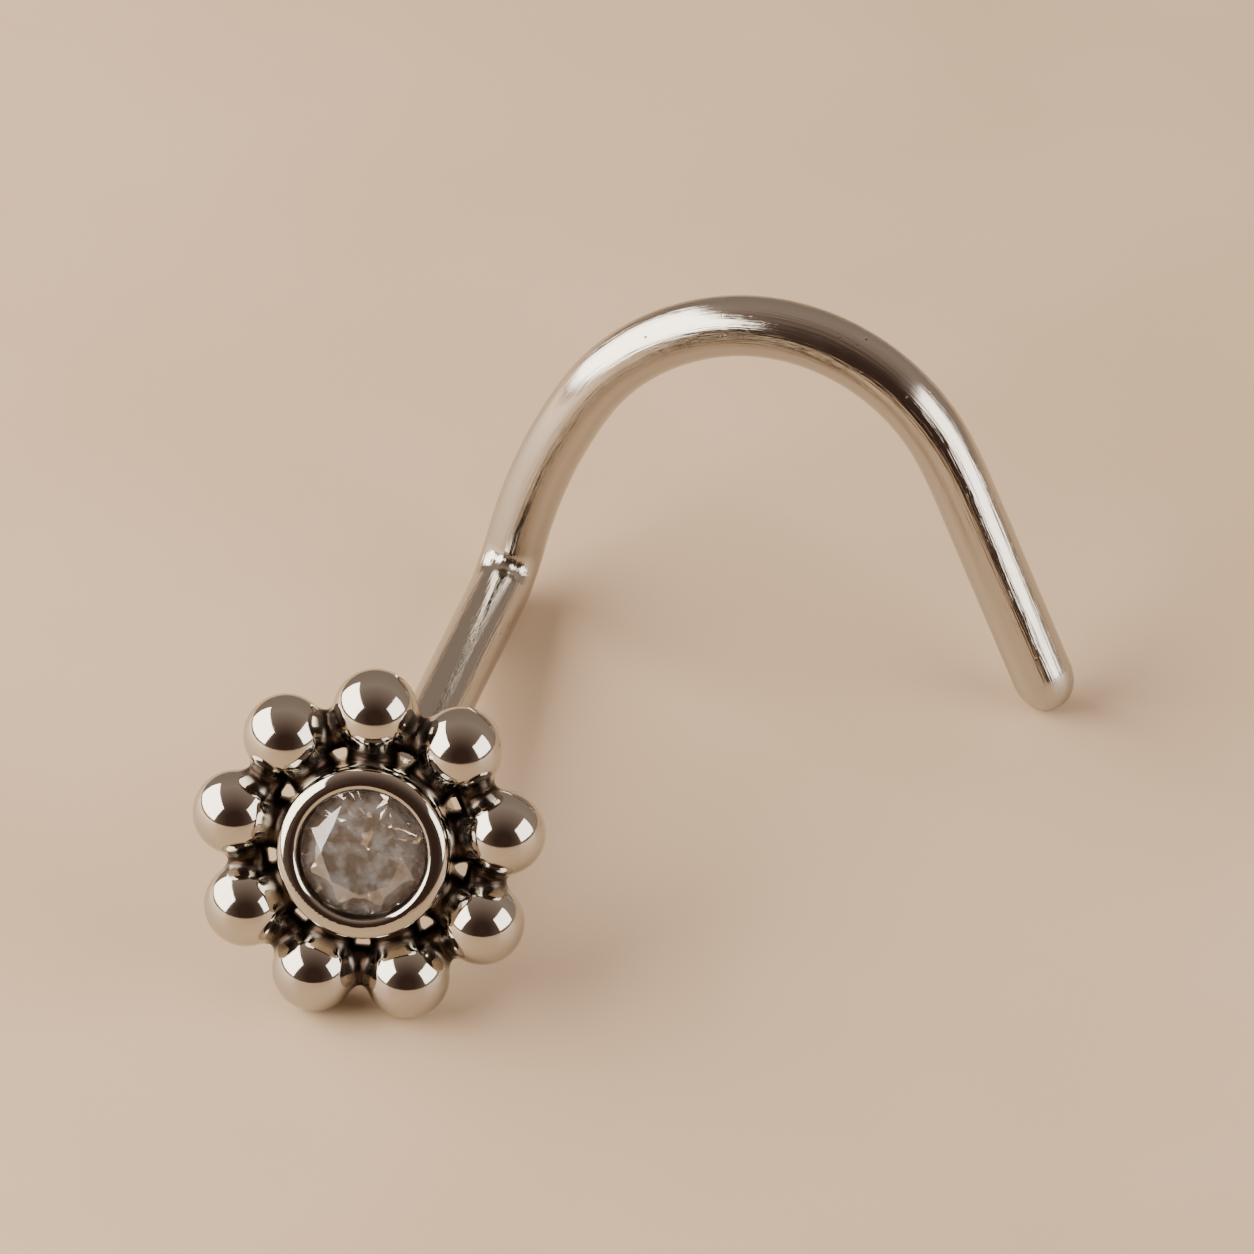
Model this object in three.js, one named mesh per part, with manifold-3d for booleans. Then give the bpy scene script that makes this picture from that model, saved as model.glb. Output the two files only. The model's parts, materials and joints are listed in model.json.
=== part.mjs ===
// Beaded nose stud of the screw kind: a flower head of nine balls round a bezel-set stone, on a
// straight wire post that turns up at an elbow into an open hook. Millimetres, +Z up. The stud lies
// as it comes to rest: on its two lowest balls, the elbow and the end of the hook.
import * as THREE from "three";
import { ConvexGeometry } from "three/addons/geometries/ConvexGeometry.js";
import { mergeVertices } from "three/addons/utils/BufferGeometryUtils.js";
import Module from "manifold-3d";

const wasm = await Module();
wasm.setup();

// ---- driving dimensions ----
const WIRE_DIAMETER = 0.8; // 20 gauge body-jewellery wire
const BEAD_COUNT = 9;
const BEAD_DIAMETER = 1.08;
const BEAD_RING_RADIUS = 1.74;
const BEZEL_DIAMETER = 2.2;
const BEZEL_TOP = 0.7; // rim above the plane of the ball centres
const BEZEL_BACK = 0.75; // flat back below that plane
const OPENING_DIAMETER = 1.6;
const STONE_DIAMETER = 1.86;
const SEAT_GAP = 0.03;
const GIRDLE_TOP = 0.34;
const GIRDLE_BOTTOM = 0.31;
const TABLE_SHARE = 0.56; // of the stone's radius
const STAR_SHARE = 0.78; // of the radius, where the star facets end
const LOWER_SHARE = 0.24; // of the radius, where the lower pavilion facets begin
const CROWN_SHARE = 0.15; // crown height, of the stone's diameter
const PAVILION_SHARE = 0.42; // pavilion depth, of the stone's diameter
const BEZEL_EDGE = 0.14; // rounding of the bezel's outer edges
const LIP_EDGE = 0.08; // rounding of the lip round the stone
const NECK_OVERLAP = 0.1; // how far the solder reaches into the bezel's wall
const BEAD_NECK_DIAMETER = 0.5; // solder between neighbouring balls
const BEZEL_NECK_DIAMETER = 0.6; // solder between a ball and the bezel

// how the head stands: its axis points up by HEAD_LEAN and is turned a little aside
const HEAD_LEAN = 28;
const HEAD_TURN = 7;

// the wire, from the flat back of the head
const ROOT_RUN = 0.8; // square off the back as far as the bend's corner
const ROOT_BEND_RADIUS = 3.0;
const POST_LENGTH = 6.62; // from the corner of that bend to the corner of the elbow
const POST_SWING = 13.4; // degrees aside, seen from above
const ELBOW_RADIUS = 0.6;
const HOOK_HEADING = -18.4; // direction from the elbow to the tip, seen from above
const HOOK_LEAN = 9.0; // the hook's plane off upright
const LEG_START = 79.0; // rise of the hook where it leaves the elbow
const HOOK_ARCS = [
  { length: 3.03, turn: 18.2 },
  { length: 2.38, turn: 43.3 },
  { length: 3.59, turn: 75.9 },
];
const TAIL_ARC = { length: 0.6, turn: 5.1 }; // eases into the tail's straight run down to the floor
const TIP_HEIGHT = 0.5; // rounded end beyond the plain wire
const TIP_FULLNESS = 0.8; // 1 is a plain ellipse, less is blunter
const TIP_OVERLAP = 0.05; // how far the rounded end reaches back into the wire

// fineness of the faceted solids
const WIRE_SIDES = 12;
const WIRE_STEP = 0.2;
const BEAD_SIDES = 14;
const LATHE_SIDES = 32;
const NECK_SIDES = 8;
const TIP_ROWS = 6;
const FALL_PASSES = 20; // rounds that settle the post's slope

const radians = THREE.MathUtils.degToRad;
const wireRadius = WIRE_DIAMETER / 2;
const beadRadius = BEAD_DIAMETER / 2;
const up = new THREE.Vector3(0, 0, 1);

// ---- solids ----
function toSolid(geometry) {
  const bare = geometry.index ? geometry.toNonIndexed() : geometry.clone();
  bare.deleteAttribute("normal");
  bare.deleteAttribute("uv");
  const merged = mergeVertices(bare, 1e-5);
  const mesh = new wasm.Mesh({
    numProp: 3,
    vertProperties: Float32Array.from(merged.attributes.position.array),
    triVerts: Uint32Array.from(merged.index.array),
  });
  return new wasm.Manifold(mesh);
}

function toGeometry(solid) {
  const mesh = solid.getMesh();
  const geometry = new THREE.BufferGeometry();
  geometry.setAttribute("position", new THREE.BufferAttribute(Float32Array.from(mesh.vertProperties), 3));
  geometry.setIndex(new THREE.BufferAttribute(Uint32Array.from(mesh.triVerts), 1));
  return geometry;
}

function latheAlongZ(profile, sides) {
  const points = profile.map(([radius, height]) => new THREE.Vector2(radius, height));
  return new THREE.LatheGeometry(points, sides).rotateX(Math.PI / 2);
}

function rodBetween(start, end, diameter, sides) {
  const run = end.clone().sub(start);
  const rod = new THREE.CylinderGeometry(diameter / 2, diameter / 2, run.length(), sides);
  const turn = new THREE.Quaternion().setFromUnitVectors(new THREE.Vector3(0, 1, 0), run.clone().normalize());
  const middle = start.clone().add(end).multiplyScalar(0.5);
  return rod.applyQuaternion(turn).translate(middle.x, middle.y, middle.z);
}

// ---- head, in its own frame: +Z out of the face, the ball centres in the plane Z = 0 ----
function beadCentre(index) {
  const angle = radians(90 + (360 / BEAD_COUNT) * index);
  return new THREE.Vector3(Math.cos(angle), Math.sin(angle), 0).multiplyScalar(BEAD_RING_RADIUS);
}

const girdleRadius = STONE_DIAMETER / 2;
const tableRadius = TABLE_SHARE * girdleRadius;
const tableHeight = GIRDLE_TOP + CROWN_SHARE * STONE_DIAMETER;
const culetHeight = GIRDLE_BOTTOM - PAVILION_SHARE * STONE_DIAMETER;

function bezelCup() {
  const outer = BEZEL_DIAMETER / 2;
  const inner = OPENING_DIAMETER / 2;
  const seat = girdleRadius + SEAT_GAP;
  const cut = BEZEL_EDGE * (1 - Math.SQRT1_2);
  return latheAlongZ([
    [0, -BEZEL_BACK],
    [outer - BEZEL_EDGE, -BEZEL_BACK],
    [outer - cut, cut - BEZEL_BACK],
    [outer, BEZEL_EDGE - BEZEL_BACK],
    [outer, BEZEL_TOP - BEZEL_EDGE],
    [outer - cut, BEZEL_TOP - cut],
    [outer - BEZEL_EDGE, BEZEL_TOP],
    [inner + LIP_EDGE, BEZEL_TOP],
    [inner, BEZEL_TOP - LIP_EDGE],
    [inner, GIRDLE_TOP + seat - inner],
    [seat, GIRDLE_TOP + SEAT_GAP],
    [seat, GIRDLE_BOTTOM - SEAT_GAP],
    [0, culetHeight - 1.6 * SEAT_GAP],
  ], LATHE_SIDES);
}

function headSolid() {
  let head = toSolid(bezelCup());
  for (let index = 0; index < BEAD_COUNT; index += 1) {
    const centre = beadCentre(index);
    const bead = new THREE.SphereGeometry(beadRadius, BEAD_SIDES, BEAD_SIDES * 0.66);
    head = head.add(toSolid(bead.translate(centre.x, centre.y, centre.z)));
    head = head.add(toSolid(rodBetween(centre, beadCentre(index + 1), BEAD_NECK_DIAMETER, NECK_SIDES)));
    const inside = centre.clone().setLength(BEZEL_DIAMETER / 2 - NECK_OVERLAP);
    head = head.add(toSolid(rodBetween(inside, centre, BEZEL_NECK_DIAMETER, NECK_SIDES)));
  }
  return head;
}

// ---- round brilliant: table, stars, kites, girdle, pavilion and culet ----
function ringPoints(count, radius, height, offset) {
  return Array.from({ length: count }, (_, index) => {
    const angle = ((index + offset) / count) * Math.PI * 2;
    return new THREE.Vector3(Math.cos(angle) * radius, Math.sin(angle) * radius, height);
  });
}

function brilliant() {
  const crownSlope = (tableHeight - GIRDLE_TOP) / (girdleRadius - tableRadius);
  const pavilionSlope = (GIRDLE_BOTTOM - culetHeight) / girdleRadius;
  const halfFacet = Math.cos(Math.PI / 8);
  const starRadius = STAR_SHARE * girdleRadius;
  const lowerRadius = LOWER_SHARE * girdleRadius;
  return new ConvexGeometry([
    ...ringPoints(8, tableRadius, tableHeight, 0),
    ...ringPoints(8, starRadius, tableHeight - (starRadius * halfFacet - tableRadius) * crownSlope, 0.5),
    ...ringPoints(32, girdleRadius, GIRDLE_TOP, 0),
    ...ringPoints(32, girdleRadius, GIRDLE_BOTTOM, 0),
    ...ringPoints(8, lowerRadius, culetHeight + lowerRadius * halfFacet * pavilionSlope, 0.5),
    new THREE.Vector3(0, 0, culetHeight),
  ]);
}

// ---- the head's place: its two lowest balls touch the floor ----
const lean = radians(HEAD_LEAN);
const turn = radians(HEAD_TURN);
const faceAxis = new THREE.Vector3(
  -Math.sin(turn) * Math.cos(lean),
  -Math.cos(turn) * Math.cos(lean),
  Math.sin(lean),
);
const headAcross = new THREE.Vector3().crossVectors(up, faceAxis).normalize();
const headUp = new THREE.Vector3().crossVectors(faceAxis, headAcross);
const lowestBeadDrop = BEAD_RING_RADIUS * Math.cos(Math.PI / BEAD_COUNT) * headUp.z;
const headCentre = new THREE.Vector3(0, 0, beadRadius + lowestBeadDrop);
const headPlace = new THREE.Matrix4().makeBasis(headAcross, headUp, faceAxis).setPosition(headCentre);

// ---- the wire's centreline, as short straight steps through lines and arcs ----
function addLine(points, end) {
  const start = points[points.length - 1];
  const steps = Math.max(1, Math.ceil(start.distanceTo(end) / WIRE_STEP));
  for (let step = 1; step <= steps; step += 1) points.push(start.clone().lerp(end, step / steps));
}

function addArc(points, heading, axis, length, angle) {
  const steps = Math.max(2, Math.ceil(length / WIRE_STEP), Math.ceil(angle / radians(14)));
  const half = new THREE.Quaternion().setFromAxisAngle(axis, angle / steps / 2);
  const chord = length / steps;
  for (let step = 0; step < steps; step += 1) {
    heading.applyQuaternion(half);
    points.push(points[points.length - 1].clone().addScaledVector(heading, chord));
    heading.applyQuaternion(half);
  }
}

// a rounded corner between two straight runs
function addCorner(points, corner, heading, nextHeading, radius) {
  const angle = heading.angleTo(nextHeading);
  const setback = radius * Math.tan(angle / 2);
  addLine(points, corner.clone().addScaledVector(heading, -setback));
  const axis = new THREE.Vector3().crossVectors(heading, nextHeading).normalize();
  addArc(points, heading.clone(), axis, radius * angle, angle);
  return setback;
}

function wireCentreline() {
  const backwards = faceAxis.clone().negate();
  const start = headCentre.clone().addScaledVector(backwards, BEZEL_BACK - 0.15);
  const rootCorner = headCentre.clone().addScaledVector(backwards, BEZEL_BACK + ROOT_RUN);

  // the post falls until the underside of the elbow touches the floor
  const swing = radians(POST_SWING);
  const hookTurn = radians(HOOK_HEADING);
  const hookLean = radians(HOOK_LEAN);
  const hookAcross = new THREE.Vector3(Math.cos(hookTurn), Math.sin(hookTurn), 0);
  const hookRise = new THREE.Vector3(0, 0, 1).applyAxisAngle(hookAcross, -hookLean);
  const hookAxis = new THREE.Vector3().crossVectors(hookRise, hookAcross);
  const legHeading = hookAcross.clone().applyAxisAngle(hookAxis, -radians(LEG_START));
  let fall = 0;
  const post = new THREE.Vector3();
  for (let pass = 0; pass < FALL_PASSES; pass += 1) {
    post.set(Math.sin(swing) * Math.cos(fall), Math.cos(swing) * Math.cos(fall), -Math.sin(fall));
    const setback = ELBOW_RADIUS * Math.tan(post.angleTo(legHeading) / 2);
    const sag = ELBOW_RADIUS * (1 - Math.cos(fall)) - setback * Math.sin(fall);
    fall = Math.asin((rootCorner.z - wireRadius - sag) / POST_LENGTH);
  }
  const elbow = rootCorner.clone().addScaledVector(post, POST_LENGTH);

  const points = [start];
  addCorner(points, rootCorner, backwards, post, ROOT_BEND_RADIUS);
  const setback = addCorner(points, elbow, post, legHeading, ELBOW_RADIUS);

  // the hook's arcs lie in one plane; the tail then runs straight down to the floor
  const heading = legHeading.clone();
  HOOK_ARCS.forEach((arc, index) => {
    const length = index === 0 ? arc.length - setback : arc.length;
    addArc(points, heading, hookAxis, length, radians(arc.turn));
  });
  addArc(points, heading, hookAxis, TAIL_ARC.length, radians(TAIL_ARC.turn));
  const last = points[points.length - 1];
  const tipClearance = tipUnderside(heading);
  addLine(points, last.clone().addScaledVector(heading, (last.z - tipClearance) / -heading.z));
  return points;
}

// ---- rounded end: a blunt dome, a little fuller than a ball ----
function tipProfile() {
  return Array.from({ length: TIP_ROWS + 1 }, (_, row) => {
    const angle = (row / TIP_ROWS) * (Math.PI / 2);
    const radius = row === TIP_ROWS ? 0 : wireRadius * Math.cos(angle) ** TIP_FULLNESS;
    return [radius, TIP_HEIGHT * Math.sin(angle)];
  });
}

// height of the wire's end above the lowest point of its dome, for a wire heading down to the floor
function tipUnderside(heading) {
  const level = Math.hypot(heading.x, heading.y);
  return Math.max(...tipProfile().map(([radius, reach]) => radius * level - reach * heading.z));
}

function tipSolid(end, heading) {
  const dome = latheAlongZ([[0, -TIP_OVERLAP], [wireRadius, -TIP_OVERLAP], ...tipProfile()], WIRE_SIDES);
  const turnOver = new THREE.Quaternion().setFromUnitVectors(up, heading);
  return toSolid(dome.applyQuaternion(turnOver).translate(end.x, end.y, end.z));
}

function wireSolid() {
  const points = wireCentreline();
  const route = new THREE.CurvePath();
  for (let index = 1; index < points.length; index += 1) {
    route.add(new THREE.LineCurve3(points[index - 1], points[index]));
  }
  const section = new THREE.Shape();
  section.absarc(0, 0, wireRadius, 0, Math.PI * 2);
  const steps = Math.round(route.getLength() / WIRE_STEP);
  const wire = new THREE.ExtrudeGeometry(section, {
    steps,
    curveSegments: WIRE_SIDES / 2,
    extrudePath: route,
    bevelEnabled: false,
  });
  const end = points[points.length - 1];
  const heading = end.clone().sub(points[points.length - 2]).normalize();
  return toSolid(wire).add(tipSolid(end, heading));
}

// ---- assembly ----
const polishedSteel = new THREE.MeshStandardMaterial({
  name: "polished_steel", color: 0xc9c4bc, roughness: 0.12, metalness: 1.0,
});
const clearStone = new THREE.MeshStandardMaterial({
  name: "clear_zirconia", color: 0xf4f1ea, roughness: 0.02, metalness: 0.0,
});

const studMetal = new THREE.Mesh(
  toGeometry(toSolid(toGeometry(headSolid()).applyMatrix4(headPlace)).add(wireSolid())),
  polishedSteel,
);
studMetal.name = "beaded_setting_with_hook";

const stone = new THREE.Mesh(brilliant().applyMatrix4(headPlace), clearStone);
stone.name = "stone";

const noseStud = new THREE.Group();
noseStud.add(studMetal, stone);

// origin at the middle of the underside
const box = new THREE.Box3().setFromObject(noseStud);
noseStud.position.set(-(box.min.x + box.max.x) / 2, -(box.min.y + box.max.y) / 2, -box.min.z);
noseStud.updateMatrixWorld(true);

export default noseStud;
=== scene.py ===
"""Looks of a beaded nose stud: polished steel flower head with a cut stone, post and open hook."""

import json
import math

import bpy
import numpy as np
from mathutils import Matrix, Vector


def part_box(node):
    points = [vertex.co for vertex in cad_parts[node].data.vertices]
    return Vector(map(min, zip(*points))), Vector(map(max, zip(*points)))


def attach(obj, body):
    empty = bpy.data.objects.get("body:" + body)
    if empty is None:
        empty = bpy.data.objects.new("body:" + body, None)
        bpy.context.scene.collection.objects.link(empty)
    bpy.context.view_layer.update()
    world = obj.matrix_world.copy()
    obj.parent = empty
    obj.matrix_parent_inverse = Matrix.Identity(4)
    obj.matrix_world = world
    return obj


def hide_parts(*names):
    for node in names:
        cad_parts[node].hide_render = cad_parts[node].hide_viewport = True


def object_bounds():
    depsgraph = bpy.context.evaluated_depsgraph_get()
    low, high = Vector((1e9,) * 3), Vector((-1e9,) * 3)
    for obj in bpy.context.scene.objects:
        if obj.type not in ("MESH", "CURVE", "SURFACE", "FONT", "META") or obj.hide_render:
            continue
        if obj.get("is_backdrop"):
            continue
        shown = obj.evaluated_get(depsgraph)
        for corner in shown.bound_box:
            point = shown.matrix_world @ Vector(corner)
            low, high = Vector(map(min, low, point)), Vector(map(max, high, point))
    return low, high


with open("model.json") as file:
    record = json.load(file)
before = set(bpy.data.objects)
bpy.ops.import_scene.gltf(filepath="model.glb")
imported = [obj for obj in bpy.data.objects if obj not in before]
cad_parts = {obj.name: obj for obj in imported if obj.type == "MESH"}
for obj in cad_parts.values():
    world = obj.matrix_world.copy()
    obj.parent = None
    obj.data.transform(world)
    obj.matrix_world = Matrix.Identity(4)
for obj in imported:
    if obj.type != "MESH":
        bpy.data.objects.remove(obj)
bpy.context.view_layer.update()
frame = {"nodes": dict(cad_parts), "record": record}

MM = 0.001
METAL_NODE = "beaded_setting_with_hook"
STONE_NODE = "stone"

# ---- sizes of the stud, in millimetres ----
WIRE_RADIUS = 0.4
BEAD_COUNT = 9
BEAD_RADIUS = 0.54
BEAD_RING_RADIUS = 1.74
BEZEL_RADIUS = 1.1
BEZEL_TOP = 0.7
BEZEL_BACK = -0.75
BEZEL_ROUNDING = 0.13
RIM_SLOPE = 20  # the bezel's rim falls away outwards, in degrees
OPENING_RADIUS = 0.8
LIP_FLARE = 0.05  # how much wider the opening is at the top of the bezel
LIP_STRAIGHT = 0.5  # height where the flare starts
GIRDLE_TOP = 0.34
GIRDLE_BOTTOM = 0.31
SEAT_RADIUS = 0.96
SEAT_HEADROOM = 0.09  # the seat's roof above the girdle
SEAT_DEPTH = 0.048  # the seat's point below the stone's
CULET_HEIGHT = -0.4712
SEAT_GAP = 0.03
BEAD_NECK_RADIUS = 0.26
BEZEL_NECK_RADIUS = 0.34
SOLDER_BLEND = 0.12  # how far the solder flows into a corner
NECK_INSET = 0.945  # the solder between two balls runs inside their ring, as a share of it
NECK_REACH = 0.575  # where the bezel's solder starts, as a share of the balls' ring
SOLDER_SUNK = 0.07  # the solder lies behind the middle of the balls
RIM_BLEND = 0.12
LIP_BLEND = 0.1
ROOT_BLEND = 0.2  # fillet where the post leaves the back
ROOT_STUB = 0.3  # how far the head's surface follows the post
ROOT_SLIMMER = 0.004  # the stub stays inside the wire
HEAD_VOXEL = 0.036
NET_MARGIN = 0.1
NET_PULLS = 6  # times that each point is drawn onto the surface
LEAST_STEEPNESS = 0.2  # keeps a pull short where two surfaces cancel
FAR = 9.0

# ---- painted shade and a rougher finish, down in the joints and the groove round the stone ----
JOINT_SHADE_REACH = 0.12  # the painted shade and the rougher finish fade out this far from the solder
GROOVE_RADIUS = 0.835
GROOVE_TOP = 0.64
GROOVE_FADE = (0.02, 0.06)  # outwards and upwards

# ---- the wire's route, from the back of the head; angles in degrees ----
ROOT_RUN = 0.8
FALL_PASSES = 20  # rounds that settle the post's slope
ROOT_BEND_RADIUS = 3.0
START_INSIDE = 0.15  # the wire starts this far inside the head's back
POST_LENGTH = 6.62
POST_SWING = 13.4
ELBOW_RADIUS = 0.6
HOOK_HEADING = -18.4
HOOK_LEAN = 9.0
LEG_START = 79.0
HOOK_ARCS = ((3.03, 18.2), (2.38, 43.3), (3.59, 75.9))  # length and turn of each
TAIL_ARC = (0.6, 5.1)
TIP_HEIGHT = 0.5
TIP_FULLNESS = 0.8  # 1 is a plain ellipse, less is blunter
TIP_ROWS = 24
# the pliers' marks at the elbow: depth, place and width down the wire, place and width across it
PINCH_MARKS = (
    (0.008, 0.0, 0.2, 0.0, 9.0),
    (0.022, 0.04, 0.06, 0.16, 0.06),
    (0.022, -0.02, 0.09, -0.14, 0.07),
)
PINCH_REACH = 1.2
BEND_SAMPLE = 12  # steps back from the elbow that give the post's direction
WIRE_SIDES = 96
WIRE_STEP = 0.05
STEP_TURN = 3  # most that the wire turns in one step

# ---- the view ----
CAMERA_ELEVATION = 38
CAMERA_DISTANCE = 150
VIEW_WIDTH = 15.87  # at the head
HEAD_LEFT = -3.28  # the head's centre from the middle of the view
HEAD_RAISED = -2.77
FLOOR_SIZE = 400


def unit(vector):
    return vector / np.linalg.norm(vector)


def turned(vector, axis, angle):
    """vector turned about a unit axis, right-handed, angle in radians."""
    across = np.cross(axis, vector)
    along = axis * (axis @ vector)
    return vector * math.cos(angle) + across * math.sin(angle) + along * (1 - math.cos(angle))


# ---- where the head is: its axis from the mount, its centre from the stone's point ----
back_mount = next(m for m in frame["record"]["mounts"] if m["name"] == "back_of_head")
FACE_AXIS = -unit(np.array(back_mount["axis"], float))
stone_object = frame["nodes"][STONE_NODE]
stone_points = np.array([v.co[:] for v in stone_object.data.vertices]) / MM
culet = stone_points[np.argmin(stone_points @ FACE_AXIS)]
HEAD_CENTRE = culet - FACE_AXIS * CULET_HEIGHT
HEAD_ACROSS = unit(np.cross([0.0, 0.0, 1.0], FACE_AXIS))
HEAD_UP = np.cross(FACE_AXIS, HEAD_ACROSS)
HEAD_FRAME = np.array([HEAD_ACROSS, HEAD_UP, FACE_AXIS])  # rows: the head's own axes


# ---- meshes ----
def new_piece(name, points, faces, smooth=True):
    """A mesh object from points in millimetres, with its place in its mesh."""
    mesh = bpy.data.meshes.new(name)
    mesh.from_pydata((np.asarray(points) * MM).tolist(), [], [list(map(int, f)) for f in faces])
    mesh.validate()
    mesh.polygons.foreach_set("use_smooth", [smooth] * len(mesh.polygons))
    piece = bpy.data.objects.new(name, mesh)
    bpy.context.scene.collection.objects.link(piece)
    return piece


def smooth_min(a, b, blend):
    """The smaller of two distances, with a fillet of about blend where they meet."""
    h = np.maximum(blend - np.abs(a - b), 0.0) / blend
    return np.minimum(a, b) - h * h * blend * 0.25


def capsule(points, start, end, radius):
    run = end - start
    along = np.clip(((points - start) @ run) / (run @ run), 0.0, 1.0)
    return np.linalg.norm(points - start - along[:, None] * run, axis=1) - radius


def rounded_box(r, z, half_r, low, high, rounding):
    """Distance to a rounded rectangle in the (r, z) half plane, centred on the axis."""
    qr = r - half_r + rounding
    qz = np.abs(z - (low + high) / 2) - (high - low) / 2 + rounding
    outside = np.hypot(np.maximum(qr, 0.0), np.maximum(qz, 0.0))
    return outside + np.minimum(np.maximum(qr, qz), 0.0) - rounding


def bead_centres():
    angles = np.radians(90 + 360 / BEAD_COUNT * np.arange(BEAD_COUNT))
    return BEAD_RING_RADIUS * np.stack([np.cos(angles), np.sin(angles), 0 * angles], axis=1)


def solder_distance(points):
    """Distance to the solder that joins ball to ball and ball to bezel."""
    centres = bead_centres() - [0.0, 0.0, SOLDER_SUNK]
    solder = np.full(len(points), FAR)
    for index, centre in enumerate(centres):
        following = centres[(index + 1) % BEAD_COUNT]
        inner = centre * [NECK_REACH, NECK_REACH, 1.0]
        near, far = (c * [NECK_INSET, NECK_INSET, 1.0] for c in (centre, following))
        solder = np.minimum(solder, capsule(points, near, far, BEAD_NECK_RADIUS))
        solder = np.minimum(solder, capsule(points, inner, centre, BEZEL_NECK_RADIUS))
    return solder


def head_distance(points):
    """Signed distance to the soldered head, in its own frame, millimetres."""
    r = np.hypot(points[:, 0], points[:, 1])
    z = points[:, 2]
    cup = rounded_box(r, z, BEZEL_RADIUS, BEZEL_BACK, BEZEL_TOP, BEZEL_ROUNDING)
    tilt = math.radians(RIM_SLOPE)
    rim = (z - BEZEL_TOP) * math.cos(tilt) + (r - OPENING_RADIUS - LIP_FLARE) * math.sin(tilt)
    cup = -smooth_min(-cup, -rim, RIM_BLEND)
    beads = np.full(len(points), FAR)
    for centre in bead_centres():
        beads = np.minimum(beads, np.linalg.norm(points - centre, axis=1) - BEAD_RADIUS)
    metal = smooth_min(smooth_min(beads, solder_distance(points), SOLDER_BLEND), cup, SOLDER_BLEND)

    # root of the post, a hair slimmer than the wire that runs down it
    within = np.maximum(BEZEL_BACK - ROOT_STUB - z, z - BEZEL_BACK - ROOT_STUB)
    post = np.maximum(r - WIRE_RADIUS + ROOT_SLIMMER, within)
    metal = smooth_min(metal, post, ROOT_BLEND)

    # the well that holds the stone: flared lip, girdle seat, cone below
    flare = LIP_FLARE * np.clip((z - LIP_STRAIGHT) / (BEZEL_TOP - LIP_STRAIGHT), 0.0, 1.5)
    lip = np.maximum(r - OPENING_RADIUS - flare, GIRDLE_BOTTOM - z)
    low, high = GIRDLE_BOTTOM - SEAT_GAP, GIRDLE_TOP + SEAT_HEADROOM
    seat = np.maximum(r - SEAT_RADIUS, np.maximum(low - z, z - high))
    slope = math.atan2(GIRDLE_BOTTOM - CULET_HEIGHT, SEAT_RADIUS)
    cone = r * math.sin(slope) - (z - CULET_HEIGHT + SEAT_DEPTH) * math.cos(slope)
    cone = np.maximum(cone, z - GIRDLE_BOTTOM)
    well = np.minimum(np.minimum(lip, seat), cone)
    return -smooth_min(-metal, well, LIP_BLEND)


def gradient(distance, points, step=1e-4):
    parts = []
    for axis in range(3):
        offset = np.zeros(3)
        offset[axis] = step
        parts.append(distance(points + offset) - distance(points - offset))
    return np.stack(parts, axis=1) / (2 * step)


def surface_net(distance, low, high, step):
    """Points and quads of the surface where distance is zero, one point a cell, then drawn onto it."""
    axes = [np.arange(low[i], high[i] + step, step) for i in range(3)]
    shape = tuple(len(axis) for axis in axes)
    values = np.empty(shape)
    for index, x in enumerate(axes[0]):
        yy, zz = np.meshgrid(axes[1], axes[2], indexing="ij")
        layer = np.stack([np.full(yy.size, x), yy.ravel(), zz.ravel()], axis=1)
        values[index] = distance(layer).reshape(shape[1:])
    inside = values < 0
    corners = np.stack([
        inside[i:shape[0] - 1 + i, j:shape[1] - 1 + j, k:shape[2] - 1 + k]
        for i in (0, 1) for j in (0, 1) for k in (0, 1)
    ])
    mixed = corners.any(axis=0) & ~corners.all(axis=0)
    number = np.full(mixed.shape, -1)
    cells = np.argwhere(mixed)
    number[mixed] = np.arange(len(cells))
    points = np.array(low) + (cells + 0.5) * step
    for _ in range(NET_PULLS):
        slope = gradient(distance, points)
        steepness = np.maximum((slope * slope).sum(axis=1), LEAST_STEEPNESS)
        points = points - slope * (distance(points) / steepness)[:, None]
    quads = []
    for axis in range(3):
        u, v = (axis + 1) % 3, (axis + 2) % 3
        first = np.take(inside, range(shape[axis] - 1), axis=axis)
        second = np.take(inside, range(1, shape[axis]), axis=axis)
        for rising in (False, True):
            crossing = np.argwhere((first == rising) & (second != rising))
            keep = (crossing[:, u] > 0) & (crossing[:, v] > 0)
            crossing = crossing[keep]
            ring = []
            for du, dv in ((-1, -1), (0, -1), (0, 0), (-1, 0)):
                cell = crossing.copy()
                cell[:, u] += du
                cell[:, v] += dv
                ring.append(number[cell[:, 0], cell[:, 1], cell[:, 2]])
            quad = np.stack(ring, axis=1)
            quads.append(quad if rising else quad[:, ::-1])
    return points, np.concatenate(quads)


def unbuffed_and_painted_shade_share(points):
    """1 in the solder joints and the groove round the stone, where shade is painted into the colour
    and the finish is rougher, else 0.
    """
    solder = 1 - np.clip(solder_distance(points) / JOINT_SHADE_REACH, 0.0, 1.0)
    r = np.hypot(points[:, 0], points[:, 1])
    outwards = 1 - np.clip((r - GROOVE_RADIUS) / GROOVE_FADE[0], 0.0, 1.0)
    upwards = np.clip((GROOVE_TOP - points[:, 2]) / GROOVE_FADE[1], 0.0, 1.0)
    groove = np.where(points[:, 2] < GIRDLE_BOTTOM, 0.0, outwards * upwards)
    return np.maximum(solder, groove)


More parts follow.
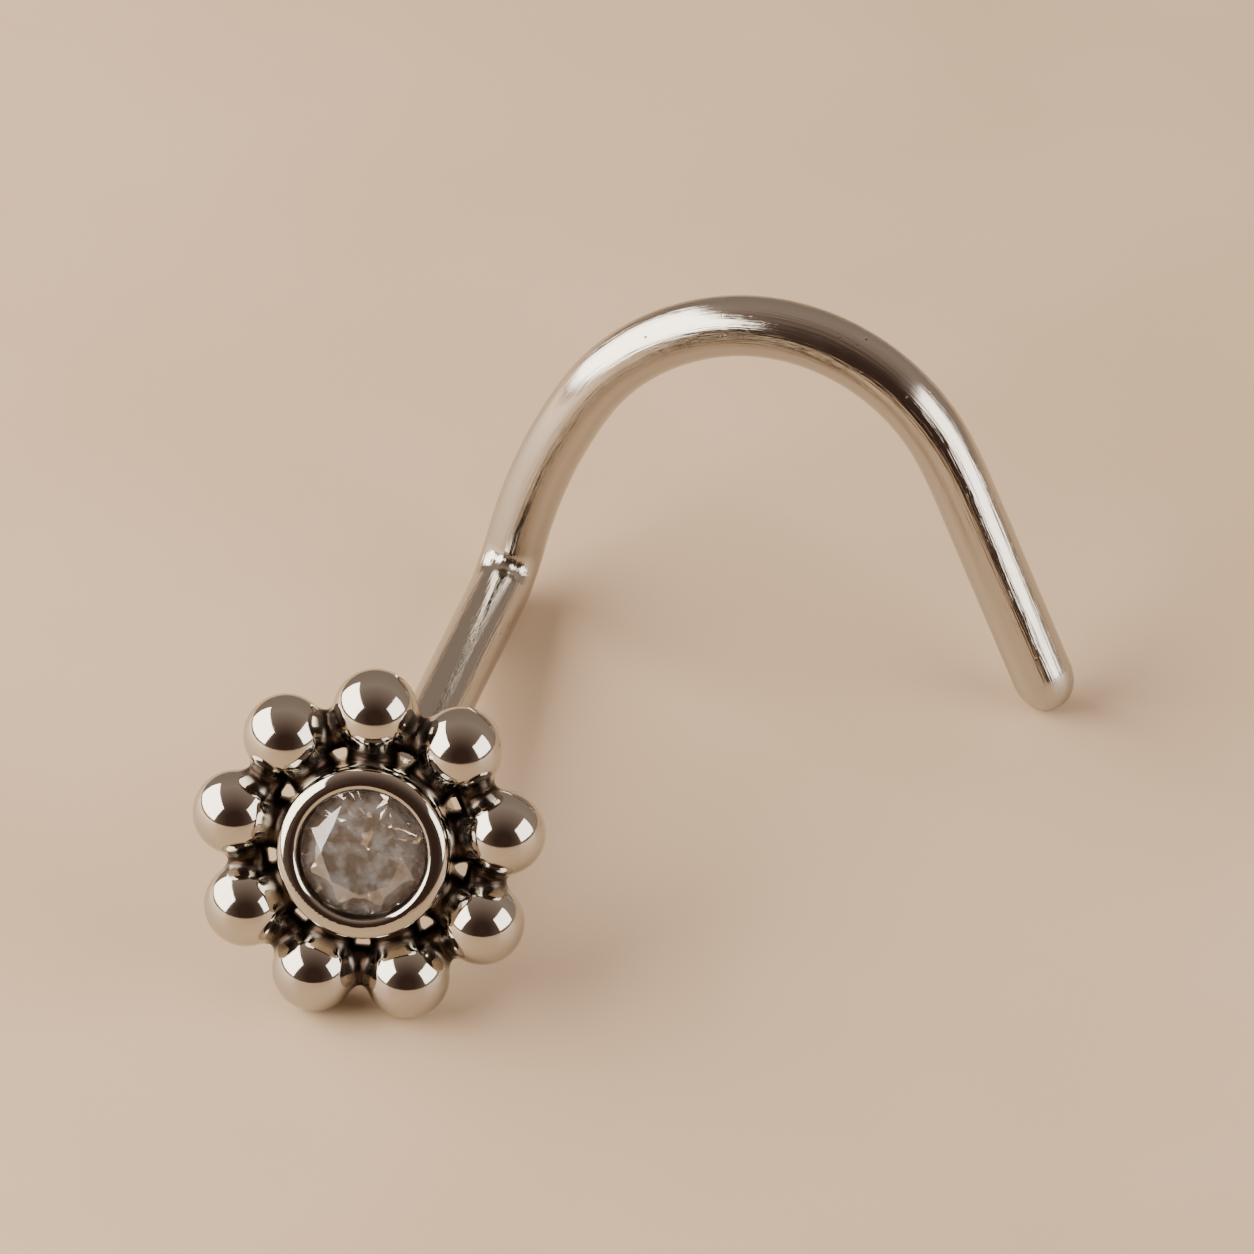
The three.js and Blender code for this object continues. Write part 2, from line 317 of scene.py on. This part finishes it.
def flower_setting():
    """Bezel, nine balls and their solder as one flowed surface."""
    reach = BEAD_RING_RADIUS + BEAD_RADIUS + NET_MARGIN
    low = (-reach, -reach, BEZEL_BACK - ROOT_STUB - NET_MARGIN)
    high = (reach, reach, BEZEL_TOP + NET_MARGIN)
    points, quads = surface_net(head_distance, low, high, HEAD_VOXEL)
    normals = gradient(head_distance, points)
    normals /= np.linalg.norm(normals, axis=1)[:, None]
    piece = new_piece("flower_setting", HEAD_CENTRE + points @ HEAD_FRAME, quads)
    piece.data.normals_split_custom_set_from_vertices((normals @ HEAD_FRAME).tolist())
    # share of painted shade and rougher finish, in the joints and the groove round the stone
    unbuffed_and_painted_shade = piece.data.attributes.new("unbuffed_and_painted_shade", "FLOAT", "POINT")
    unbuffed_and_painted_shade.data.foreach_set("value", unbuffed_and_painted_shade_share(points))
    return piece


# ---- the wire's centreline, as in the working drawing ----
def straight(points, end):
    start = points[-1]
    steps = max(1, math.ceil(np.linalg.norm(end - start) / WIRE_STEP))
    for step in range(1, steps + 1):
        points.append(start + (end - start) * step / steps)


def arc(points, heading, axis, length, angle):
    steps = max(2, math.ceil(length / WIRE_STEP), math.ceil(math.degrees(angle) / STEP_TURN))
    for _ in range(steps):
        middle = turned(heading, axis, angle / steps / 2)
        points.append(points[-1] + middle * length / steps)
        heading = turned(heading, axis, angle / steps)
    return heading


def rounded_corner(points, corner, heading, next_heading, radius):
    angle = math.acos(np.clip(heading @ next_heading, -1, 1))
    setback = radius * math.tan(angle / 2)
    straight(points, corner - heading * setback)
    arc(points, heading, unit(np.cross(heading, next_heading)), radius * angle, angle)
    return setback


def tip_profile():
    """(radius, reach) down the blunt dome on the wire's end."""
    angles = np.linspace(0, math.pi / 2, TIP_ROWS + 1)
    radius = WIRE_RADIUS * np.maximum(np.cos(angles), 0.0) ** TIP_FULLNESS
    return np.stack([radius, TIP_HEIGHT * np.sin(angles)], axis=1)


def wire_centreline():
    """Points down the wire, the elbow's place among them and the inner side of its bend."""
    backwards = -FACE_AXIS
    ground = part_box(METAL_NODE)[0][2] / MM
    root_corner = HEAD_CENTRE + backwards * (ROOT_RUN - BEZEL_BACK)
    swing, heading_angle = math.radians(POST_SWING), math.radians(HOOK_HEADING)
    across = np.array([math.cos(heading_angle), math.sin(heading_angle), 0.0])
    rise = turned(np.array([0.0, 0.0, 1.0]), across, -math.radians(HOOK_LEAN))
    hook_axis = np.cross(rise, across)
    leg = turned(across, hook_axis, -math.radians(LEG_START))
    fall = 0.0
    for _ in range(FALL_PASSES):
        post = np.array([
            math.sin(swing) * math.cos(fall), math.cos(swing) * math.cos(fall), -math.sin(fall)])
        setback = ELBOW_RADIUS * math.tan(math.acos(post @ leg) / 2)
        sag = ELBOW_RADIUS * (1 - math.cos(fall)) - setback * math.sin(fall)
        fall = math.asin((root_corner[2] - ground - WIRE_RADIUS - sag) / POST_LENGTH)
    elbow = root_corner + post * POST_LENGTH
    points = [HEAD_CENTRE - backwards * (BEZEL_BACK + START_INSIDE)]
    rounded_corner(points, root_corner, backwards, post, ROOT_BEND_RADIUS)
    setback = rounded_corner(points, elbow, post, leg, ELBOW_RADIUS)
    heading = leg
    for index, (length, turn) in enumerate(HOOK_ARCS):
        run = length - setback if index == 0 else length
        heading = arc(points, heading, hook_axis, run, math.radians(turn))
    heading = arc(points, heading, hook_axis, TAIL_ARC[0], math.radians(TAIL_ARC[1]))
    level = math.hypot(heading[0], heading[1])
    underside = max(radius * level - reach * heading[2] for radius, reach in tip_profile())
    straight(points, points[-1] + heading * (points[-1][2] - ground - underside) / -heading[2])
    return np.array(points), elbow, unit(leg - post)


def carried_frames(points):
    """Tangents and twist-free side vectors along a polyline."""
    tangents = np.gradient(points, axis=0)
    tangents /= np.linalg.norm(tangents, axis=1)[:, None]
    side = unit(np.cross(tangents[0], [0.0, 0.0, 1.0]))
    sides = []
    for tangent in tangents:
        side = unit(side - tangent * (side @ tangent))
        sides.append(side)
    sides = np.array(sides)
    return tangents, sides, np.cross(tangents, sides)


def pinch(points, elbow_point, inner, post_direction):
    """Change of radius from the pliers' pinch on the inner side of the elbow."""
    offset = points - elbow_point
    across = unit(np.cross(inner, post_direction))
    u = offset @ unit(np.cross(across, inner))
    v = offset @ across
    w = offset @ inner
    facing = np.clip(w / WIRE_RADIUS, 0.0, 1.0)
    change = np.zeros(len(points))
    for depth, place_u, width_u, place_v, width_v in PINCH_MARKS:
        change -= depth * np.exp(-((u - place_u) / width_u) ** 2 - ((v - place_v) / width_v) ** 2)
    return change * facing


def tube_faces(rows):
    """Quads along a tube of so many rings, closed by a fan onto one more point at each end."""
    grid = np.arange(rows * WIRE_SIDES).reshape(rows, WIRE_SIDES)
    here, after = grid[:-1], grid[1:]
    quads = np.stack([here, np.roll(here, -1, 1), np.roll(after, -1, 1), after], axis=-1)
    faces = quads.reshape(-1, 4).tolist()
    start_cap, end_cap = rows * WIRE_SIDES, rows * WIRE_SIDES + 1
    for side in range(WIRE_SIDES):
        following = (side + 1) % WIRE_SIDES
        faces.append([grid[0, following], grid[0, side], start_cap])
        faces.append([grid[-1, side], grid[-1, following], end_cap])
    return faces


def mark_wire(piece, rings, circle, plain_rows):
    """What the finish needs: length down the wire, turn round it, and the filed dome on its end."""
    middles = np.array([ring.mean(axis=0) for ring in rings])
    run = np.r_[0, np.cumsum(np.linalg.norm(np.diff(middles, axis=0), axis=1))]
    along = piece.data.attributes.new("down_the_wire", "FLOAT", "POINT")
    along.data.foreach_set("value", np.r_[np.repeat(run, WIRE_SIDES), run[0], run[-1]])
    turn = piece.data.attributes.new("round_the_wire", "FLOAT_VECTOR", "POINT")
    turns = np.vstack([np.tile(circle, (len(rings), 1)), np.zeros((2, 3))])
    turn.data.foreach_set("vector", turns.ravel())
    filed = np.zeros((len(rings), WIRE_SIDES))
    filed[plain_rows:] = 1.0
    cut_end = piece.data.attributes.new("cut_end", "FLOAT", "POINT")
    cut_end.data.foreach_set("value", np.r_[filed.ravel(), 0.0, 1.0])


def post_and_hook():
    """The wire, with the pinched elbow and the blunt rounded end."""
    points, elbow, inner = wire_centreline()
    tangents, sides, others = carried_frames(points)
    near = np.argmin(np.linalg.norm(points - elbow, axis=1))
    post_direction = unit(points[near] - points[near - BEND_SAMPLE])
    angles = np.linspace(0, 2 * math.pi, WIRE_SIDES, endpoint=False)
    circle = np.stack([np.cos(angles), np.sin(angles), 0 * angles], axis=1)
    rings = []
    for point, side, other in zip(points, sides, others):
        around = circle[:, :2] @ np.array([side, other])
        ring = point + WIRE_RADIUS * around
        if np.linalg.norm(point - points[near]) < PINCH_REACH:
            ring = ring + around * pinch(ring, points[near], inner, post_direction)[:, None]
        rings.append(ring)
    for radius, reach in tip_profile()[1:-1]:
        rings.append(points[-1] + tangents[-1] * reach + radius * around)
    end = points[-1] + tangents[-1] * TIP_HEIGHT
    corners = np.vstack(rings + [points[0][None], end[None]])
    piece = new_piece("post_and_hook", corners, tube_faces(len(rings)))
    mark_wire(piece, rings, circle, len(points))
    return piece


# ---- materials ----
def linear(hex_colour):
    """Linear RGBA from an sRGB hex colour."""
    channels = [int(hex_colour[i:i + 2], 16) / 255 for i in (1, 3, 5)]
    return [c / 12.92 if c <= 0.04045 else ((c + 0.055) / 1.055) ** 2.4 for c in channels] + [1.0]


def add_node(tree, kind, settings=None, inputs=None, links=None):
    """A node with its settings, input values and incoming links (socket: output)."""
    node = tree.nodes.new(kind)
    for name, value in (settings or {}).items():
        setattr(node, name, value)
    for name, value in (inputs or {}).items():
        node.inputs[name].default_value = value
    for name, output in (links or {}).items():
        tree.links.new(output, node.inputs[name])
    return node


def new_material(name):
    material = bpy.data.materials.new(name)
    material.use_nodes = True
    material.node_tree.nodes.clear()
    return material, material.node_tree


def ramp(tree, source, stops):
    node = add_node(tree, "ShaderNodeValToRGB", links={"Fac": source})
    while len(node.color_ramp.elements) < len(stops):
        node.color_ramp.elements.new(0.5)
    for element, (position, colour) in zip(node.color_ramp.elements, stops):
        element.position = position
        element.color = colour if isinstance(colour, list) else [colour, colour, colour, 1.0]
    return node


def polished_steel_head():
    # 316L steel, tumbled and buffed: near-mirror, faint cloudy hand wear on the balls' crowns,
    # and a rougher finish down in the joints where the buff can't reach, where the colour is also
    # darkened as painted shade.
    material, tree = new_material("buffed_steel_with_painted_joint_shade")
    place = add_node(tree, "ShaderNodeTexCoord").outputs["Object"]
    smear = add_node(tree, "ShaderNodeTexNoise", inputs={"Scale": 1 / (0.45 * MM), "Detail": 3.0},
                     links={"Vector": place})
    grit = add_node(tree, "ShaderNodeTexNoise", inputs={"Scale": 1 / (0.035 * MM), "Detail": 2.0},
                    links={"Vector": place})
    joint = add_node(tree, "ShaderNodeAttribute", {"attribute_name": "unbuffed_and_painted_shade"})
    depth = ramp(tree, joint.outputs["Fac"], [(0.15, 0.0), (0.85, 1.0)])
    rough = ramp(tree, smear.outputs["Fac"], [(0.3, 0.045), (0.75, 0.1)])
    rougher = add_node(tree, "ShaderNodeMath", {"operation": "MULTIPLY_ADD", "use_clamp": True},
                       {1: 0.24}, {0: depth.outputs["Color"], 2: rough.outputs["Color"]})
    # painted shade: the colour darkens to near black in the joints and the groove round the stone
    colour = add_node(tree, "ShaderNodeMix", {"data_type": "RGBA"},
                      {"A": linear("#bbb7b0"), "B": linear("#372d27")},
                      {"Factor": depth.outputs["Color"]})
    bump = add_node(tree, "ShaderNodeBump", inputs={"Strength": 0.05, "Distance": 0.004 * MM},
                    links={"Height": grit.outputs["Fac"]})
    shader = add_node(tree, "ShaderNodeBsdfPrincipled", inputs={"Metallic": 1.0},
                      links={"Base Color": colour.outputs["Result"],
                             "Roughness": rougher.outputs["Value"],
                             "Normal": bump.outputs["Normal"]})
    add_node(tree, "ShaderNodeOutputMaterial", links={"Surface": shader.outputs["BSDF"]})
    return material


def drawn_steel_wire():
    # 316L wire, drawn through a die and polished: fine lines run down its length, with a few
    # pliers' pits and scuffs, so its highlights are long and slightly broken.
    material, tree = new_material("drawn_and_polished_steel_wire")
    along = add_node(tree, "ShaderNodeAttribute", {"attribute_name": "down_the_wire"})
    around = add_node(tree, "ShaderNodeAttribute", {"attribute_name": "round_the_wire"})
    slow = add_node(tree, "ShaderNodeMath", {"operation": "MULTIPLY"}, {1: 0.09},
                    {0: along.outputs["Fac"]})
    split = add_node(tree, "ShaderNodeSeparateXYZ", links={"Vector": around.outputs["Vector"]})
    line_place = add_node(tree, "ShaderNodeCombineXYZ",
                          links={"X": split.outputs["X"], "Y": split.outputs["Y"],
                                 "Z": slow.outputs["Value"]})
    lines = add_node(tree, "ShaderNodeTexNoise", inputs={"Scale": 14.0, "Detail": 3.0},
                     links={"Vector": line_place.outputs["Vector"]})
    place = add_node(tree, "ShaderNodeTexCoord").outputs["Object"]
    scuffs = add_node(tree, "ShaderNodeTexNoise", inputs={"Scale": 1 / (0.6 * MM), "Detail": 4.0},
                      links={"Vector": place})
    pits = add_node(tree, "ShaderNodeTexVoronoi", {"feature": "F1"},
                    {"Scale": 1 / (0.14 * MM), "Randomness": 1.0}, {"Vector": place})
    pit = ramp(tree, pits.outputs["Distance"], [(0.06, 1.0), (0.16, 0.0)])
    where = ramp(tree, scuffs.outputs["Fac"], [(0.56, 0.0), (0.66, 1.0)])
    pit_here = add_node(tree, "ShaderNodeMath", {"operation": "MULTIPLY"}, {},
                        {0: pit.outputs["Color"], 1: where.outputs["Color"]})
    polish = ramp(tree, scuffs.outputs["Fac"], [(0.35, 0.07), (0.7, 0.15)])
    filed = add_node(tree, "ShaderNodeAttribute", {"attribute_name": "cut_end"})
    rough = add_node(tree, "ShaderNodeMath", {"operation": "MULTIPLY_ADD"}, {1: 0.16},
                     {0: filed.outputs["Fac"], 2: polish.outputs["Color"]})
    height = add_node(tree, "ShaderNodeMath", {"operation": "SUBTRACT"}, {},
                      {0: lines.outputs["Fac"], 1: pit_here.outputs["Value"]})
    bump = add_node(tree, "ShaderNodeBump", inputs={"Strength": 0.8, "Distance": 0.008 * MM},
                    links={"Height": height.outputs["Value"]})
    colour = add_node(tree, "ShaderNodeMix", {"data_type": "RGBA"},
                      {"A": linear("#bdb9b2"), "B": linear("#6f6862")},
                      {"Factor": pit_here.outputs["Value"]})
    shader = add_node(tree, "ShaderNodeBsdfPrincipled", inputs={"Metallic": 1.0},
                      links={"Base Color": colour.outputs["Result"],
                             "Roughness": rough.outputs["Value"],
                             "Normal": bump.outputs["Normal"]})
    add_node(tree, "ShaderNodeOutputMaterial", links={"Surface": shader.outputs["BSDF"]})
    return material


def clear_zirconia():
    # cubic zirconia, cut and polished: high index and sharp facet flashes, with a milky, mottled
    # diffuse layer that is painted brightness, standing in for the light and flashes that the facets
    # send back
    material, tree = new_material("cut_clear_zirconia")
    place = add_node(tree, "ShaderNodeTexCoord").outputs["Object"]
    painted_brightness_mottle = add_node(tree, "ShaderNodeTexNoise", inputs={"Scale": 1 / (0.17 * MM), "Detail": 3.0},
                    links={"Vector": place})
    # painted brightness: the diffuse base colour, mottled from champagne grey to white, in place of
    # the facets' returned light
    tint = ramp(tree, painted_brightness_mottle.outputs["Fac"], [(0.4, linear("#c4b3a2")), (0.6, linear("#ffffff"))])
    shader = add_node(tree, "ShaderNodeBsdfPrincipled",
                      inputs={"Roughness": 0.01, "IOR": 2.1, "Transmission Weight": 0.85},
                      links={"Base Color": tint.outputs["Color"]})
    add_node(tree, "ShaderNodeOutputMaterial", links={"Surface": shader.outputs["BSDF"]})
    return material


def pale_stone_floor():
    # honed limestone, kept plain
    material, tree = new_material("honed_pale_stone")
    place = add_node(tree, "ShaderNodeTexCoord").outputs["Object"]
    cloud = add_node(tree, "ShaderNodeTexNoise", inputs={"Scale": 1 / (6 * MM), "Detail": 2.0},
                     links={"Vector": place})
    tint = ramp(tree, cloud.outputs["Fac"], [(0.3, linear("#cbb296")), (0.7, linear("#d2ba9f"))])
    shader = add_node(tree, "ShaderNodeBsdfPrincipled", inputs={"Roughness": 0.6},
                      links={"Base Color": tint.outputs["Color"]})
    add_node(tree, "ShaderNodeOutputMaterial", links={"Surface": shader.outputs["BSDF"]})
    return material


# ---- stage ----
def floor():
    half = FLOOR_SIZE / 2
    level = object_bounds()[0][2] / MM
    corners = [(-half, -half, level), (half, -half, level), (half, half, level), (-half, half, level)]
    slab = new_piece("floor", corners, [(0, 1, 2, 3)], smooth=False)
    slab.data.materials.append(pale_stone_floor())
    slab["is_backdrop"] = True


def panel(name, place, aim, width, height, watts, colour):
    """A soft rectangular light, all lengths in millimetres."""
    data = bpy.data.lights.new(name, "AREA")
    data.shape = "RECTANGLE"
    data.size, data.size_y = width * MM, height * MM
    data.energy = watts
    data.color = linear(colour)[:3]
    light = bpy.data.objects.new(name, data)
    light.location = Vector(place) * MM
    light.rotation_mode = "QUATERNION"
    light.rotation_quaternion = (Vector(aim) - Vector(place)).to_track_quat("-Z", "Y")
    bpy.context.scene.collection.objects.link(light)


def studio():
    """Two soft windows, left and right, in a brown room that is darkest in front."""
    world = bpy.data.worlds.new("soft_room")
    world.use_nodes = True
    tree = world.node_tree
    direction = add_node(tree, "ShaderNodeTexCoord").outputs["Generated"]
    front = add_node(tree, "ShaderNodeVectorMath", {"operation": "DOT_PRODUCT"},
                     {1: (0.0, -0.95, 0.31)}, {0: direction})
    share = add_node(tree, "ShaderNodeMapRange", inputs={"From Min": -1.0},
                     links={"Value": front.outputs["Value"]})
    room = ramp(tree, share.outputs["Result"], [
        (0.0, linear("#b5a08f")), (0.45, linear("#cdb6a4")), (0.75, linear("#a38a7a")),
        (0.97, linear("#553f35"))])
    background = tree.nodes["Background"]
    background.inputs["Strength"].default_value = 0.8
    tree.links.new(room.outputs["Color"], background.inputs["Color"])
    bpy.context.scene.world = world
    panel("left_window", (-62, 2, 34), (0, 2, 0), 110, 62, 0.19, "#fff4e4")
    panel("right_window", (60, -26, 30), (0, -4, 0), 60, 48, 0.055, "#fff6ea")


def camera():
    """Looks down at CAMERA_ELEVATION from straight in front, with the head at the lower left."""
    elevation = math.radians(CAMERA_ELEVATION)
    back = Vector((0, -math.cos(elevation), math.sin(elevation)))
    rise = Vector((0, math.sin(elevation), math.cos(elevation)))
    target = Vector(HEAD_CENTRE) - Vector((1, 0, 0)) * HEAD_LEFT - rise * HEAD_RAISED
    data = bpy.data.cameras.new("camera")
    data.sensor_width = 36
    data.lens = 36 * CAMERA_DISTANCE / VIEW_WIDTH
    data.clip_start, data.clip_end = 0.001, 10
    data.dof.use_dof = False
    view = bpy.data.objects.new("camera", data)
    view.location = (target + back * CAMERA_DISTANCE) * MM
    view.rotation_mode = "QUATERNION"
    view.rotation_quaternion = (-back).to_track_quat("-Z", "Y")
    bpy.context.scene.collection.objects.link(view)
    bpy.context.scene.camera = view


camera()
setting = flower_setting()
wire = post_and_hook()
setting.data.materials.append(polished_steel_head())
wire.data.materials.append(drawn_steel_wire())
for piece in (setting, wire):
    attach(piece, "root")
    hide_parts(METAL_NODE)
stone_material = clear_zirconia()
for material_slot in stone_object.material_slots:
    material_slot.material = stone_material
floor()
studio()
